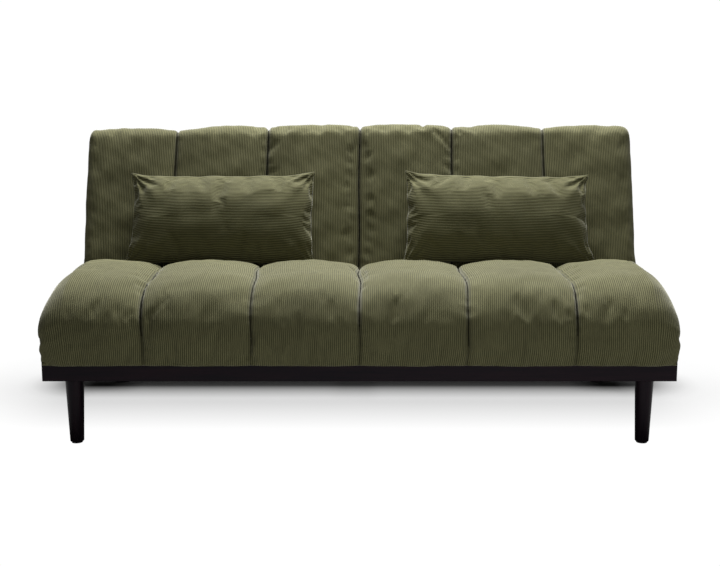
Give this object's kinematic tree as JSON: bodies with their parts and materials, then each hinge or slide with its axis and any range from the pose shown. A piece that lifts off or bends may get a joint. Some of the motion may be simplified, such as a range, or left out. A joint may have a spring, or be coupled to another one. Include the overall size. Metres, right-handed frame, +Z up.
{
  "type": "futon sofa bed",
  "caption": "Click-clack futon sofa bed with a channelled corduroy seat and back, two loose lumbar pillows, a low wooden base and round tapered legs.",
  "frame": {"origin": "on the floor at the middle of the footprint", "axes": "+X across the sofa, -Y the front that a sitter faces, +Z up"},
  "size_m": [1.752, 0.8143, 0.8573],
  "materials": {
    "espresso_wood": "satin stain",
    "frame_wood": "sawn",
    "hardboard": "smooth",
    "corduroy": "ribbed pile",
    "foam": "open cell foam",
    "fibre_fill": "fibre",
    "felt": "felt",
    "dust_cloth": "non-woven",
    "webbing": "woven elastic",
    "black_steel": "satin black",
    "zinc_steel": "zinc plated",
    "spring_steel": "drawn wire",
    "glide_plastic": "moulded"
  },
  "bodies": {
    "sofa_base": {"front_rail": "espresso_wood", "rear_rail": "espresso_wood", "left_side_rail": "espresso_wood", "right_side_rail": "espresso_wood", "centre_stretcher": "frame_wood", "stretcher_dowels": "frame_wood", "front_left_leg": "espresso_wood", "rear_left_leg": "espresso_wood", "front_right_leg": "espresso_wood", "rear_right_leg": "espresso_wood", "leg_plates": "black_steel", "leg_bolts": "zinc_steel", "corner_blocks": "frame_wood", "block_screws": "zinc_steel", "foot_glides": "glide_plastic", "seat_frame_bolts": "zinc_steel", "seat_front_board": "frame_wood", "seat_rear_board": "frame_wood", "seat_left_board": "frame_wood", "seat_right_board": "frame_wood", "seat_cross_boards": "frame_wood", "seat_springs": "spring_steel", "spring_clips": "spring_steel", "seat_felt_pad": "felt", "seat_foam": "foam", "seat_cover": "corduroy", "seat_dust_cover": "dust_cloth", "left_hinge_bracket": "black_steel", "left_bracket_screws": "zinc_steel", "left_pivot_pin": "zinc_steel", "left_pawl_pin": "zinc_steel", "left_pawl_spring": "spring_steel", "right_hinge_bracket": "black_steel", "right_bracket_screws": "zinc_steel", "right_pivot_pin": "zinc_steel", "right_pawl_pin": "zinc_steel", "right_pawl_spring": "spring_steel"},
    "backrest": {"back_top_board": "frame_wood", "back_bottom_board": "frame_wood", "back_left_board": "frame_wood", "back_right_board": "frame_wood", "back_centre_boards": "frame_wood", "back_webbing": "webbing", "back_foam": "foam", "back_cover": "corduroy", "back_rear_panel": "hardboard", "left_hinge_arm": "black_steel", "left_arm_screws": "zinc_steel", "left_ratchet": "black_steel", "right_hinge_arm": "black_steel", "right_arm_screws": "zinc_steel", "right_ratchet": "black_steel"},
    "left_pawl": {"left_pawl": "black_steel"},
    "left_pillow": {"left_pillow_cover": "corduroy", "left_pillow_insert": "fibre_fill"},
    "right_pawl": {"right_pawl": "black_steel"},
    "right_pillow": {"right_pillow_cover": "corduroy", "right_pillow_insert": "fibre_fill"}
  },
  "joints": [
    {"name": "back_hinge", "type": "hinge", "parent": "sofa_base", "child": "backrest", "pos_m": [0, 0.1898, 0.386], "axis": [-1, 0, 0], "range_deg": [-8, 70]},
    {"name": "left_pawl_pivot", "type": "hinge", "parent": "sofa_base", "child": "left_pawl", "pos_m": [-0.8151, 0.1348, 0.387], "axis": [-1, 0, 0], "range_deg": [-1.5, 12.5]},
    {"name": "right_pawl_pivot", "type": "hinge", "parent": "sofa_base", "child": "right_pawl", "pos_m": [0.8151, 0.1348, 0.387], "axis": [-1, 0, 0], "range_deg": [-1.5, 12.5]},
    {"name": "left_pillow_lift", "type": "slide", "parent": "backrest", "child": "left_pillow", "axis": [0, -0.4226, 0.9063], "range_m": [0, 0.3]},
    {"name": "right_pillow_lift", "type": "slide", "parent": "backrest", "child": "right_pillow", "axis": [0, -0.4226, 0.9063], "range_m": [0, 0.3]}
  ],
  "couplings": [
    {"joint": "left_pawl_pivot", "follows": "back_hinge", "ratio": 0.17},
    {"joint": "right_pawl_pivot", "follows": "back_hinge", "ratio": 0.17}
  ]
}
